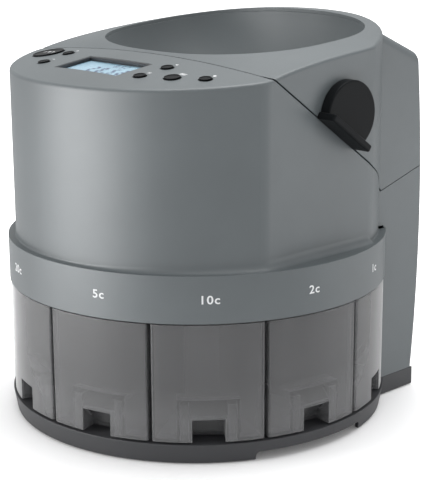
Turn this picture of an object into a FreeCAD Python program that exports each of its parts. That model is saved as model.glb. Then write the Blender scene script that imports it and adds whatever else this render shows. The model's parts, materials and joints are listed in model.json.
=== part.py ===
import FreeCAD, Part
import math
import os
import re
import Sketcher
from FreeCAD import Placement, Rotation, Vector

# Coin sorting machine: a round housing with a crowned top, a coin hopper, eight
# radial coin bins under a denomination ring, and a rear tower for the electronics.
# Origin: drum axis at the table. +Z up, -Y towards the operator, +X operator's right.

X_AXIS = Vector(1, 0, 0)
Y_AXIS = Vector(0, 1, 0)
Z_AXIS = Vector(0, 0, 1)

SIZES = [
    ("band_radius", 151.0, "outside of the denomination ring"),
    ("drum_radius", 145.0, "outside of the housing wall"),
    ("flat_offset", 133.4, "drum axis to each flat side"),
    ("shell", 2.8, "housing wall thickness"),
    ("corner_round", 20.0, "round between a flat side and the drum"),
    ("base_top", 15.5, "top of the base plate"),
    ("skirt_bottom", 1.0, "lower edge of the base skirt"),
    ("skirt_draft", 2.0, "how far the skirt leans in at its foot"),
    ("hold_height", 6.0, "how high the hand holds reach above the skirt's edge"),
    ("hold_width", 101.0, "width of a hand hold"),
    ("hold_bearing", 83.0, "bearing of a hand hold from the front, degrees"),
    ("plate_thick", 3.0, "base plate and skirt thickness"),
    ("foot_radius", 8.0, "rubber foot"),
    ("foot_height", 3.0, "rubber foot"),
    ("bin_front", 150.0, "radius of a bin's front face"),
    ("bin_back", 58.0, "radius of a bin's back wall"),
    ("bin_bottom", 17.0, "underside of a bin"),
    ("bin_top", 106.3, "open rim of a bin"),
    ("bin_pitch", 33.2, "angle from one bin to the next, degrees"),
    ("bin_gap", 1.5, "half the gap between neighbouring bins"),
    ("bin_wall", 2.0, "bin wall thickness"),
    ("notch_width", 24.5, "finger notch in a bin's front"),
    ("notch_height", 17.6, "finger notch in a bin's front"),
    ("pocket_width", 46.0, "finger pocket block inside a bin"),
    ("pocket_height", 32.0, "finger pocket block inside a bin"),
    ("pocket_depth", 18.0, "finger pocket block inside a bin"),
    ("runner_height", 1.4, "runners under a bin"),
    ("core_radius", 52.0, "column inside the ring of bins"),
    ("rib_thick", 1.2, "divider rib between bins"),
    ("rib_reach", 143.0, "outer radius of a divider rib"),
    ("band_bottom", 107.5, "lower edge of the denomination ring"),
    ("band_top", 143.0, "upper edge of the denomination ring"),
    ("flat_foot", 7.0, "soft fillet where a flat side meets the ring"),
    ("drum_foot", 1.2, "fillet where the round wall meets the ring"),
    ("band_wall", 2.5, "denomination ring wall"),
    ("ledge_inner", 129.0, "inner radius of the ring's top ledge"),
    ("deck_radius", 148.3, "chute deck outside radius"),
    ("chute_outer", 127.5, "chute block outside radius"),
    ("chute_inner", 95.0, "chute block inside radius"),
    ("chute_track", 111.0, "radius on which the exit holes lie"),
    ("chute_bore", 14.6, "radius of each exit chute"),
    ("chute_top", 149.0, "top of the chute block"),
    ("sort_plate_bottom", 149.1, "underside of the sorting plate"),
    ("sort_plate_thick", 2.0, "sorting plate thickness"),
    ("rail_height", 6.0, "height of the rail around the sorting plate"),
    ("rotor_bottom", 151.8, "underside of the sorter's finger wheel"),
    ("rotor_thick", 5.0, "finger wheel thickness"),
    ("finger_reach", 123.6, "outer radius of the wheel's fingers"),
    ("shaft_radius", 5.0, "sorter shaft"),
    ("bearing_radius", 11.0, "sorter shaft bearing"),
    ("running_gap", 0.05, "radial clearance of a running fit"),
    ("belt_thick", 1.4, "drive belt thickness"),
    ("belt_width", 6.0, "drive belt width"),
    ("belt_level", 123.0, "lower edge of the drive belt"),
    ("large_pulley", 34.0, "pulley on the sorter shaft, radius under the belt"),
    ("small_pulley", 8.5, "pulley on the motor, radius under the belt"),
    ("motor_back", 76.0, "drum axis to the drive motor's axis"),
    ("motor_radius", 18.0, "drive motor can"),
    ("panel_height", 273.4, "front edge of the control panel"),
    ("panel_slope", 8.0, "rise of the control panel, degrees"),
    ("crown", 0.00043, "sideways crown of the top: drop per square millimetre"),
    ("seam_front", -51.0, "seam between panel and hopper, along Y"),
    ("surround_rear", 306.8, "top of the hopper surround at the rear"),
    ("surround_swell", 6.7, "how far the surround swells up behind the seam"),
    ("swell_run", 35.0, "distance over which the surround swells up"),
    ("rim_lift", 1.9, "how far the hopper's rim is raised above the surround"),
    ("rim_spread", 18.0, "distance over which the raised rim falls away"),
    ("top_round", 2.5, "rounded outer edge of the top"),
    ("tower_half", 110.0, "half the width of the rear tower"),
    ("tower_edge", 100.8, "front edge of the tower's side walls, clear of the last bins"),
    ("tower_back", 149.3, "furthest back point of the rear tower"),
    ("tower_foot", 142.6, "back of the tower at its foot"),
    ("tower_bow_level", 155.0, "height at which the tower's back stands out furthest"),
    ("brow_back", 141.5, "top of the tower's bowed back, along Y"),
    ("brow_height", 279.6, "top of the tower's bowed back"),
    ("crest_front", 60.0, "front end of the tower's sloping top, along Y"),
    ("crest_height", 315.48, "top of the tower at its front end"),
    ("tower_round", 9.0, "rounded top edges of the tower"),
    ("plinth_top", 15.5, "top of the plinth under the tower"),
    ("opening_half_width", 106.1, "hopper opening, half axis along X"),
    ("opening_half_depth", 86.5, "hopper opening, half axis along Y"),
    ("opening_centre", 39.2, "hopper opening centre, along Y"),
    ("opening_fullness", 2.46, "exponent of the opening's outline; 2 would be an ellipse"),
    ("bowl_floor", 222.0, "top of the bowl's floor"),
    ("bowl_floor_radius", 61.0, "bowl floor"),
    ("bowl_floor_centre", 38.0, "bowl floor centre, along Y"),
    ("bowl_wall", 2.2, "bowl wall thickness"),
    ("disc_radius", 57.5, "hopper disc"),
    ("hinge_back", 152.6, "hopper hinge axis, along Y"),
    ("hinge_height", 187.0, "hopper hinge axis height"),
    ("knuckle_radius", 3.4, "hinge knuckle"),
    ("pin_radius", 1.5, "hinge pin"),
    ("knob_centre_back", 24.0, "latch knob axis, along Y"),
    ("knob_centre_height", 246.2, "latch knob axis height"),
    ("knob_radius", 26.0, "latch knob disc"),
    ("knob_disc_thick", 8.0, "how far the knob's disc stands out"),
    ("grip_outer", 16.5, "knob axis to the outer face of its grip"),
    ("grip_thick", 5.5, "thickness of the knob's grip"),
    ("grip_length", 50.0, "length of the knob's grip"),
    ("grip_stand", 16.0, "how far the knob's grip stands out"),
    ("latch_shaft", 4.0, "latch shaft radius"),
    ("small_button", 4.5, "radius of a small button"),
    ("menu_button", 5.8, "radius of the menu button"),
    ("start_button", 12.4, "radius of the start button"),
    ("button_gap", 0.9, "ring gap around a button"),
    ("button_rise", 1.2, "how far a button stands above the panel"),
    ("window_centre_x", -4.0, "display centre, along X"),
    ("window_centre_y", -91.0, "display centre, along Y"),
    ("window_width", 72.0, "display recess"),
    ("window_depth", 36.0, "display recess"),
    ("recess_depth", 2.6, "panel surface down to the display pane"),
    ("lower_plate", 112.0, "underside of the drive frame's lower bearing plate"),
    ("upper_plate", 141.0, "underside of the drive frame's upper bearing plate"),
    ("frame_foot", 110.05, "underside of the drive frame"),
    ("frame_top", 146.2, "top of the drive frame"),
    ("spout_bottom", 168.0, "lower end of the coin spout"),
    ("wall_face", 143.0, "outside of the rear wall at the sockets, along Y"),
    ("port_level", 44.0, "height of the sockets' centre line"),
]

# Exit order round the machine, smallest coin first, from the right rear to the left rear.
COINS = [
    ("coin_bin_1c", 16.25),
    ("coin_bin_2c", 18.75),
    ("coin_bin_10c", 19.75),
    ("coin_bin_5c", 21.25),
    ("coin_bin_20c", 22.25),
    ("coin_bin_1", 23.25),
    ("coin_bin_50c", 24.25),
    ("coin_bin_2", 25.75),
]

# Panel buttons: name, place on the panel (X, Y), and the sheet cell with the radius.
BUTTONS = [
    ("start_stop_button", -97.0, -70.0, "start_button"),
    ("left_rear_button", -71.5, -70.0, "small_button"),
    ("left_front_button", -66.5, -98.0, "small_button"),
    ("right_front_button", 49.0, -100.5, "small_button"),
    ("right_rear_button", 50.0, -75.0, "small_button"),
    ("menu_button", 73.0, -91.0, "menu_button"),
    ("right_end_button", 95.0, -79.5, "small_button"),
]

# Sockets in the rear wall: power inlet, switch, data port (centre X, hole width, hole height).
PORTS = [(-62.0, 27.6, 20.0), (-22.0, 21.4, 14.4), (38.0, 31.0, 12.4)]
FOOT_PLACES = [(-88.0, -88.0), (88.0, -88.0), (-92.0, 112.0), (92.0, 112.0)]
SCREW_ANGLES = [0, 90, 180, 270]
SCREW_CIRCLE = 40.0
POST_ANGLES = [60, 180, 300]
POST_CIRCLE = 50.0
SPOUT = (30.0, 82.0)

RIM_RUN = 15.0

# The side seam falls from the front of the hopper to a valley at the tower (Y, Z).
SEAM_TOP = 279.4
SEAM_BEND = (60.0, 200.6)
SEAM_CURVE = (80.5, 188.6)
SEAM_VALLEY = (96.0, 173.2)

doc = FreeCAD.newDocument("CoinSorter")
sheet = doc.addObject("Spreadsheet::Sheet", "Sizes")
for row, (alias, number, meaning) in enumerate(SIZES, start=1):
    sheet.set("A%d" % row, meaning)
    sheet.set("B%d" % row, str(number))
    sheet.setAlias("B%d" % row, alias)
doc.recompute()

ALIASES = sorted((entry[0] for entry in SIZES), key=len, reverse=True)
ALIAS_PATTERN = re.compile(r"\b(" + "|".join(ALIASES) + r")\b")
nodes = []


def size(alias):
    return float(sheet.get(alias))


def bound(text):
    return ALIAS_PATTERN.sub(r"Sizes.\1", text)


def bind(thing, prop, value):
    if isinstance(value, str):
        thing.setExpression(prop, bound(value))
    else:
        setattr(thing, prop, value)


def place(thing, x=0, y=0, z=0, axis=Z_AXIS, angle=0.0):
    numbers = [0 if isinstance(v, str) else v for v in (x, y, z)]
    thing.Placement = Placement(Vector(*numbers), Rotation(axis, angle))
    for prop, value in (("x", x), ("y", y), ("z", z)):
        if isinstance(value, str):
            thing.setExpression("Placement.Base." + prop, bound(value))
    return thing


def box(name, length, width, height, x=0, y=0, z=0, axis=Z_AXIS, angle=0.0):
    thing = doc.addObject("Part::Box", name)
    bind(thing, "Length", length)
    bind(thing, "Width", width)
    bind(thing, "Height", height)
    return place(thing, x, y, z, axis, angle)


def cylinder(name, radius, height, x=0, y=0, z=0, axis=Z_AXIS, angle=0.0):
    thing = doc.addObject("Part::Cylinder", name)
    bind(thing, "Radius", radius)
    bind(thing, "Height", height)
    return place(thing, x, y, z, axis, angle)


def cone(name, lower, upper, height, x=0, y=0, z=0):
    thing = doc.addObject("Part::Cone", name)
    bind(thing, "Radius1", lower)
    bind(thing, "Radius2", upper)
    bind(thing, "Height", height)
    return place(thing, x, y, z)


def cut(name, base, tool):
    thing = doc.addObject("Part::Cut", name)
    thing.Base = base
    thing.Tool = tool
    return thing


def fuse(name, *shapes):
    thing = doc.addObject("Part::MultiFuse", name)
    thing.Shapes = list(shapes)
    return thing


def common(name, *shapes):
    thing = doc.addObject("Part::MultiCommon", name)
    thing.Shapes = list(shapes)
    return thing


def group(name, *shapes):
    thing = doc.addObject("Part::Compound", name)
    thing.Links = list(shapes)
    return thing


def placed_copy(name, source, placement):
    thing = group(name, source)
    thing.Placement = placement
    return thing


def shaped(name, shape):
    thing = doc.addObject("Part::Feature", name)
    thing.Shape = shape
    return thing


def rounded(name, base, radius, chosen):
    """Fillet the base's edges for which chosen(edge) is true."""
    doc.recompute()
    thing = doc.addObject("Part::Fillet", name)
    thing.Base = base
    picked = [i for i, edge in enumerate(base.Shape.Edges, start=1) if chosen(edge)]
    thing.Edges = [(i, radius, radius) for i in picked]
    doc.recompute()
    return thing


def node(label, thing):
    thing.Label = label
    nodes.append(thing)
    return thing


def turned(angle, x=0, y=0, z=0):
    return Placement(Vector(x, y, z), Rotation(Z_AXIS, angle))


def upright(edge):
    ends = [v.Point for v in edge.Vertexes]
    if len(ends) != 2:
        return False
    step = ends[1] - ends[0]
    return abs(step.x) < 1e-6 and abs(step.y) < 1e-6


# ---------------------------------------------------------------- sketched bodies

def origin_plane(body, role):
    return [f for f in body.Origin.OriginFeatures if f.Role == role][0]


def new_sketch(body, name, lift="0"):
    sketch = body.newObject("Sketcher::SketchObject", name)
    sketch.AttachmentSupport = [(origin_plane(body, "XY_Plane"), "")]
    sketch.MapMode = "FlatFace"
    sketch.setExpression("AttachmentOffset.Base.z", bound(lift))
    return sketch


def sketch_circle(sketch, radius, x="0", y="0"):
    """A circle whose radius and centre follow the sheet; x and y are never negative."""
    index = sketch.addGeometry(Part.Circle(Vector(1, 1, 0), Z_AXIS, 5.0), False)
    for kind, value, extra in (("Radius", radius, None), ("DistanceX", x, 3), ("DistanceY", y, 3)):
        if extra is None:
            number = sketch.addConstraint(Sketcher.Constraint(kind, index, 5.0))
        else:
            number = sketch.addConstraint(Sketcher.Constraint(kind, -1, 1, index, extra, 1.0))
        sketch.setExpression("Constraints[%d]" % number, bound(value))
    return index


def pad(body, sketch, length):
    feature = body.newObject("PartDesign::Pad", sketch.Name + "Pad")
    feature.Profile = sketch
    feature.setExpression("Length", bound(length))
    body.Tip = feature
    return feature


# ---------------------------------------------------------------- shared outlines

def drum_outline(name, inset, z_low, z_high):
    """The drum: a cylinder with two flat sides and rounded upright corners."""
    height = "%s - (%s)" % (z_high, z_low)
    round_body = cylinder(name + "_round", "drum_radius - (%s)" % inset, height, z=z_low)
    slab = box(name + "_slab", "2 * (flat_offset - (%s))" % inset, "2 * drum_radius", height,
               x="-(flat_offset - (%s))" % inset, y="-drum_radius", z=z_low)
    both = common(name + "_common", round_body, slab)
    return rounded(name, both, size("corner_round"), upright)


def opening_reach(x, y):
    """1 on the hopper opening's outline, less inside it, more outside it."""
    power = size("opening_fullness")
    across = abs(x) / size("opening_half_width")
    along = abs(y - size("opening_centre")) / size("opening_half_depth")
    return (across ** power + along ** power) ** (1 / power)


def panel_height(x, y):
    """Height of the sloping control panel over the point x, y."""
    slope = math.tan(math.radians(size("panel_slope")))
    return size("panel_height") + slope * (y + size("drum_radius")) - size("crown") * x * x


def surround_height(x, y):
    """Height of the hopper surround over the point x, y; it runs on straight ahead of the seam."""
    seam = size("seam_front")
    swell = size("surround_swell")
    run = size("swell_run")
    start = panel_height(0, seam)
    rise = (size("surround_rear") - start - swell) / (size("drum_radius") - seam)
    behind = y - seam
    outside = max(opening_reach(x, y) - 1, 0) * 100 / size("rim_spread")
    rim = size("rim_lift") * math.exp(-outside ** 2)
    if behind < 0:
        curved = behind * (swell / run + rim / RIM_RUN)
    else:
        curved = swell * (1 - math.exp(-behind / run)) + rim * (1 - math.exp(-behind / RIM_RUN))
    return start + rise * behind + curved - size("crown") * x * x


def above(name, height, sink, steps):
    """Everything above a height function, lowered by sink, as a cutting tool."""
    reach = size("band_radius") + 9
    stations = [-reach + 2 * reach * i / steps for i in range(steps + 1)]
    surface = Part.BSplineSurface()
    surface.interpolate([[Vector(x, y, height(x, y) - sink) for y in stations] for x in stations])
    return shaped(name, surface.toShape().extrude(Vector(0, 0, 110)))


def above_panel(name, sink):
    return above(name, panel_height, sink, 8)


def above_surround(name, sink):
    return above(name, surround_height, sink, 30)


def side_prism(name, wire, half_width):
    """A flat wire in the YZ plane turned into a solid across the machine."""
    face = Part.Face(wire)
    face.translate(Vector(-half_width, 0, 0))
    return shaped(name, face.extrude(Vector(2 * half_width, 0, 0)))


def seam_region(name, shift_y, shift_z):
    """The part of space that belongs to the hopper unit, above the side seam."""
    def at(y, z):
        return Vector(0, y + shift_y, z + shift_z)

    front_low = at(size("seam_front"), SEAM_TOP)
    bend = at(*SEAM_BEND)
    bend_mid = at(*SEAM_CURVE)
    valley = at(*SEAM_VALLEY)
    rear = at(size("hinge_back") + 20, 195.0)
    far_top = at(size("hinge_back") + 20, 340.0)
    front_top = at(size("seam_front"), 340.0)
    edges = [
        Part.makeLine(front_top, front_low),
        Part.makeLine(front_low, bend),
        Part.Arc(bend, bend_mid, valley).toShape(),
        Part.makeLine(valley, rear),
        Part.makeLine(rear, far_top),
        Part.makeLine(far_top, front_top),
    ]
    return side_prism(name, Part.Wire(edges), 170)


def tower_outline(name, inset, z_low):
    """The rear tower: bowed back, sloping top, rounded upper edges."""
    back = size("tower_back") - inset
    foot = size("tower_foot") - inset
    brow_y = size("brow_back") - inset
    brow_z = size("brow_height") - inset
    crest_y = size("crest_front")
    crest_z = size("crest_height") - inset
    edges = [
        Part.makeLine(Vector(0, crest_y, z_low), Vector(0, foot, z_low)),
        Part.Arc(Vector(0, foot, z_low), Vector(0, back, size("tower_bow_level")),
                 Vector(0, brow_y, brow_z)).toShape(),
        Part.makeLine(Vector(0, brow_y, brow_z), Vector(0, crest_y, crest_z)),
        Part.makeLine(Vector(0, crest_y, crest_z), Vector(0, crest_y, z_low)),
    ]
    raw = side_prism(name + "_raw", Part.Wire(edges), size("tower_half") - inset)

    def top_edge(edge):
        middle = edge.CenterOfMass
        return middle.z > 200 and middle.y > crest_y + 1

    def back_edge(edge):
        middle = edge.CenterOfMass
        return middle.y > 130 and abs(middle.x) > 20 and middle.z < 250 and middle.z > 50

    radius = size("tower_round") - inset
    softened = rounded(name + "_top", raw, radius, top_edge)
    return softened if inset else rounded(name, softened, 4.0, back_edge)


# ---------------------------------------------------------------- base

def make_base():
    skirt = cone("base_skirt", "band_radius - skirt_draft", "band_radius + 0.5",
                 "base_top - skirt_bottom", z="skirt_bottom")
    plinth = box("base_plinth", "2 * tower_half", 80, "plinth_top - skirt_bottom",
                 x="-tower_half", y="tower_foot - 80", z="skirt_bottom")
    trim = box("base_trim", 400, 40, 40, x=-200, y="tower_foot", z=-5)
    outside = cut("base_outside", fuse("base_solid", skirt, plinth), trim)
    hollow_depth = "base_top - plate_thick - skirt_bottom + 1"
    hollow = common("base_hollow",
                    cylinder("base_round_hollow", "band_radius - skirt_draft - plate_thick", hollow_depth,
                             z="skirt_bottom - 1"),
                    box("base_hollow_limit", 400, "300 + tower_foot - 2.5", 40, x=-200, y=-300, z=-5))
    rear_hollow = box("base_rear_hollow", "2 * tower_half - 4", 60,
                      "plinth_top - plate_thick - skirt_bottom + 1",
                      x="-tower_half + 2", y="tower_foot - 62.5", z="skirt_bottom - 1")
    cuts = [hollow, rear_hollow]
    hold_top = size("skirt_bottom") + size("hold_height")
    hold = box("hand_hold_block", "hold_width", 70, "hold_height + 5", x="-hold_width / 2",
               y="-band_radius - 10", z="skirt_bottom - 5")
    hold = rounded("hand_hold_master", hold, 3.0,
                   lambda edge: edge.CenterOfMass.z > hold_top - 0.1 and abs(edge.CenterOfMass.x) > 1)
    for side in (-1, 1):
        cuts.append(placed_copy("hand_hold", hold, turned(side * size("hold_bearing"))))
    shell = cut("base_shell", outside, fuse("base_cuts", *cuts))
    bosses = []
    bores = []
    for x, y in FOOT_PLACES:
        bosses.append(cylinder("foot_boss", "foot_radius + 2", "base_top - 1 - 2.2", x=x, y=y, z=2.2))
        bores.append(cylinder("foot_seat", "foot_radius + 0.1", 2.2, x=x, y=y, z=1.5))
    for angle in SCREW_ANGLES:
        x, y = polar(SCREW_CIRCLE, angle)
        bosses.append(cylinder("screw_boss", 5, "base_top - 1 - 4", x=x, y=y, z=4))
        bores.append(cylinder("screw_hole", 2.2, 20, x=x, y=y, z=0))
        bores.append(cylinder("screw_seat", 4.2, 4, x=x, y=y, z=2))
    full = fuse("base_full", shell, *bosses)
    node("base_plate", cut("base_plate", full, fuse("base_bores", *bores)))
    feet = [cylinder("foot", "foot_radius", "foot_height", x=x, y=y, z=0) for x, y in FOOT_PLACES]
    node("rubber_feet", group("rubber_feet", *feet))
    screws = [screw("base_screw", polar(SCREW_CIRCLE, a), 2.5, 22) for a in SCREW_ANGLES]
    node("base_screws", group("base_screws", *screws))


def polar(radius, bearing):
    """Point at a bearing measured from the front towards the operator's right."""
    angle = math.radians(bearing)
    return radius * math.sin(angle), -radius * math.cos(angle)


def screw(name, spot, low, length):
    """A pan-head screw standing head down."""
    head = cylinder(name + "_head", 3.6, 2.4, x=spot[0], y=spot[1], z=low)
    stem = cylinder(name + "_stem", 1.9, length, x=spot[0], y=spot[1], z=low + 2.4)
    recess = cylinder(name + "_drive", 1.4, 1.4, x=spot[0], y=spot[1], z=low - 0.1)
    return cut(name, fuse(name + "_blank", head, stem), recess)


# ---------------------------------------------------------------- bins and their bay

def bin_bearings():
    first = 3.5 * size("bin_pitch")
    return [first - i * size("bin_pitch") for i in range(len(COINS))]


def make_bin_bay():
    low = "base_top + 0.02"
    height = "band_bottom - 0.2 - base_top"
    column = cylinder("bay_column", "core_radius", height, z=low)
    parts = [column]
    for i in range(len(COINS) + 1):
        bearing = bin_bearings()[0] + size("bin_pitch") / 2 - i * size("bin_pitch")
        rib = box("bay_rib", "rib_reach - core_radius + 3", "rib_thick", height, z=low)
        offset = Placement(Vector(size("core_radius") - 3, -size("rib_thick") / 2, 0), Rotation())
        rib.Placement = turned(bearing - 90, z=size("base_top") + 0.02).multiply(offset)
        parts.append(rib)
    blank = fuse("bay_blank", *parts)
    bore = cylinder("bay_bore", "core_radius - 2.4", 200, z="base_top + 12")
    passage = box("bay_passage", 44, 60, 60, x=-22, y=20, z="base_top + 14")
    cuts = [bore, passage]
    for angle in SCREW_ANGLES:
        x, y = polar(SCREW_CIRCLE, angle)
        cuts.append(cylinder("bay_screw", 1.95, 40, x=x, y=y, z=0))
    node("bin_bay", cut("bin_bay", blank, fuse("bay_cuts", *cuts)))


def wedge_region(name, gap, back, front, low, high):
    """A bin-shaped wedge pointing along -Y: two slanted sides, round front and back."""
    half = math.radians(size("bin_pitch") / 2)
    reach = front + 40
    # the sides run parallel to the ribs, so the wedge's tip lies ahead of the drum axis
    tip = gap / math.sin(half)
    points = [
        Vector(0, -tip, low),
        Vector(-(reach - tip) * math.tan(half), -reach, low),
        Vector((reach - tip) * math.tan(half), -reach, low),
        Vector(0, -tip, low),
    ]
    prism = Part.Face(Part.makePolygon(points)).extrude(Vector(0, 0, high - low))
    ring = Part.makeCylinder(front, high - low, Vector(0, 0, low))
    ring = ring.cut(Part.makeCylinder(back, high - low, Vector(0, 0, low)))
    return shaped(name, prism.common(ring))


def make_bins():
    low = size("bin_bottom")
    high = size("bin_top")
    wall = size("bin_wall")
    gap = size("bin_gap")
    front = size("bin_front")
    back = size("bin_back")
    outside = wedge_region("bin_outside", gap, back, front, low, high)
    soft_outside = rounded("bin_soft", outside, 1.6, upright)
    inside = wedge_region("bin_inside", gap + wall, back + wall, front - wall, low + wall, high + 5)
    tray = cut("bin_tray", soft_outside, inside)
    depth = size("pocket_depth")
    block = box("pocket_block", "pocket_width", depth + 20, "pocket_height", x="-pocket_width / 2",
                y=-(front + 20), z="bin_bottom")
    trim = cylinder("pocket_trim", "bin_front - 0.5", "pocket_height", z="bin_bottom")
    block = common("pocket_solid", block, trim)
    lip = box("pocket_lip", "pocket_width", 20, 14, x="-pocket_width / 2",
              y=-(front - depth), z="bin_bottom + pocket_height", axis=X_AXIS, angle=-140)
    block = cut("pocket_sloped", block, lip)
    cavity = box("pocket_cavity", "notch_width", depth + 20, "notch_height + 2",
                 x="-notch_width / 2", y=-(front + 20) - 2.4, z="bin_bottom - 2")
    columns = []
    for side in (-1, 1):
        columns.append(box("pocket_column", "(pocket_width - notch_width) / 2 - 4", depth - 4.4,
                           "pocket_height - 2", x=side * 17.6 - 3.4, y=-(front - 2) + 0.6,
                           z="bin_bottom - 2"))
    runners = []
    for side in (-1, 1):
        runners.append(box("bin_runner", 2, 66, "runner_height + 0.2", x=side * 10 - 1, y=-127,
                           z="bin_bottom - runner_height"))
    full = fuse("bin_full", tray, block, *runners)
    master = cut("bin_master", full, fuse("bin_hollows", cavity, *columns))
    for (name, _), bearing in zip(COINS, bin_bearings()):
        node(name, placed_copy(name, master, turned(bearing)))


# ---------------------------------------------------------------- sorter

def drum_under(name, inset, top_tool):
    """The drum's outline from the ring upwards, ended by the crowned top."""
    low = "band_top" if inset == "0" else "band_top - 5"
    return cut(name + "_ended", drum_outline(name, inset, low, "330"), top_tool)


def top_outline(edge):
    """True for the edges between the top and the drum's wall."""
    return edge.CenterOfMass.z > size("band_top") + 60 and not upright(edge)


def band_and_drum(drum_out):
    """The denomination ring and the drum above it, one moulding, with a soft foot under the flats."""
    wide = size("flat_foot")
    narrow = size("drum_foot")

    def at_foot(edge):
        point = edge.Vertexes[0].Point
        level = abs(point.z - size("band_top")) < 0.1 and edge.BoundBox.ZLength < 0.01
        return level and math.hypot(point.x, point.y) < size("drum_radius") + 1

    def on_flat(point):
        return abs(abs(point.x) - size("flat_offset")) < 0.01

    ring = cylinder("band_ring", "band_radius", "band_top - band_bottom", z="band_bottom")
    joined = fuse("band_joined", ring, drum_out)
    doc.recompute()
    soft = doc.addObject("Part::Fillet", "band_soft")
    soft.Base = joined
    chosen = []
    for i, edge in enumerate(joined.Shape.Edges, start=1):
        if at_foot(edge):
            ends = [wide if on_flat(vertex.Point) else narrow for vertex in edge.Vertexes]
            chosen.append((i, ends[0], ends[-1]))
    soft.Edges = chosen
    doc.recompute()
    return soft


def band_hollows():
    hollow = cylinder("band_hollow", "band_radius - band_wall", "band_top - band_bottom - band_wall + 1",
                      z="band_bottom - 1")
    eye = cylinder("band_eye", "ledge_inner", "band_top - band_bottom + 2", z="band_bottom - 1")
    gate = box("band_gate", "2 * tower_half + 1.2", 150, 400, x="-tower_half - 0.6", y=60, z=0)
    return [hollow, eye, gate]


def make_chute_deck():
    deck = cylinder("deck_disc", "deck_radius", 2.4, z="band_bottom + 0.1")
    gate = box("deck_gate", "2 * tower_half + 1.2", 100, 20, x="-tower_half - 0.6", y=91,
               z="band_bottom - 5")
    tower_tongue = cylinder("deck_tongue", "chute_outer", 2.4, z="band_bottom + 0.1")
    deck = fuse("deck_sheet", cut("deck_cut", deck, gate), tower_tongue)
    block = cylinder("chute_block", "chute_outer", "chute_top - band_bottom - 0.1", z="band_bottom + 0.1")
    well = cylinder("chute_well", "chute_inner", 60, z="band_bottom + 2.5")
    ring = cut("chute_ring_raw", block, well)
    bores = [cylinder("deck_shaft_hole", 12.2, 20, z="band_bottom - 5"),
             cylinder("deck_motor_hole", 12.0, 20, y="motor_back", z="band_bottom - 5")]
    for bearing in bin_bearings():
        x, y = polar(size("chute_track"), bearing)
        bores.append(cylinder("chute", "chute_bore", 80, x=x, y=y, z="band_bottom - 5"))
    for angle in POST_ANGLES:
        x, y = polar(POST_CIRCLE, angle)
        bores.append(cylinder("post_hole", 2.1, 20, x=x, y=y, z="band_bottom - 5"))
    node("chute_deck", cut("chute_deck", fuse("deck_full", deck, ring), fuse("deck_bores", *bores)))


def make_sorting_plate():
    body = doc.addObject("PartDesign::Body", "SortingPlate")
    outline = new_sketch(body, "PlateOutline", "sort_plate_bottom")
    sketch_circle(outline, "chute_outer")
    sketch_circle(outline, "shaft_radius + 2")
    pad(body, outline, "sort_plate_thick")
    holes = new_sketch(body, "PlateHoles", "sort_plate_bottom")
    for (name, diameter), bearing in zip(COINS, bin_bearings()):
        x, y = polar(size("chute_track"), bearing)
        circle = Part.Circle(Vector(x, y, 0), Z_AXIS, diameter / 2 + 0.6)
        holes.addGeometry(circle, False)
    pocket = body.newObject("PartDesign::Pocket", "PlatePocket")
    pocket.Profile = holes
    pocket.Type = 1
    pocket.Reversed = True
    body.Tip = pocket
    doc.recompute()
    node("sorting_plate", body)
    rail = cylinder("rail_outer", "chute_outer", "rail_height",
                    z="sort_plate_bottom + sort_plate_thick + 0.02")
    bore = cylinder("rail_inner", "chute_outer - 3", 30, z="sort_plate_bottom")
    node("coin_rail", cut("coin_rail", rail, bore))


def make_sorter_drive():
    top = "rotor_bottom"
    disc = cylinder("rotor_disc", 84, "rotor_thick", z=top)
    fingers = []
    for i in range(10):
        finger = box("rotor_finger", "finger_reach - 60", 9, "rotor_thick")
        inner = Placement(Vector(60, -4.5, 0), Rotation())
        finger.Placement = turned(36 * i, z=size("rotor_bottom")).multiply(inner)
        fingers.append(finger)
    hub = cylinder("rotor_hub", 14, 5, z="rotor_bottom + rotor_thick - 0.5")
    trim = cylinder("rotor_trim", "finger_reach", 40, z="rotor_bottom - 5")
    blank = common("rotor_blank", fuse("rotor_full", disc, hub, *fingers), trim)
    bore = cylinder("rotor_bore", "shaft_radius", 60, z="rotor_bottom - 20")
    node("sorter_rotor", cut("sorter_rotor", blank, bore))
    node("sorter_shaft", cylinder("sorter_shaft", "shaft_radius - 0.01", 54, z="lower_plate - 5"))
    node("shaft_pulley", pulley("shaft_pulley", "large_pulley", "shaft_radius", 0))
    bearings = [bearing_ring("lower_bearing", "lower_plate"), bearing_ring("upper_bearing", "upper_plate")]
    node("shaft_bearings", group("shaft_bearings", *bearings))


def pulley(name, radius, bore, back):
    level = "belt_level - 1.6"
    drum = cylinder(name + "_drum", radius, "belt_width + 3.2", y=back, z=level)
    low = cylinder(name + "_low", radius + " + 2.2", 1.2, y=back, z=level)
    high = cylinder(name + "_high", radius + " + 2.2", 1.2, y=back, z="belt_level + belt_width + 0.4")
    hole = cylinder(name + "_hole", bore, 30, y=back, z="belt_level - 10")
    return cut(name, fuse(name + "_blank", drum, low, high), hole)


def bearing_ring(name, level):
    outer = cylinder(name + "_outer", "bearing_radius - 0.02", 5, z=level)
    inner = cylinder(name + "_inner", "shaft_radius + running_gap", 9, z=level + " - 2")
    return cut(name, outer, inner)


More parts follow.
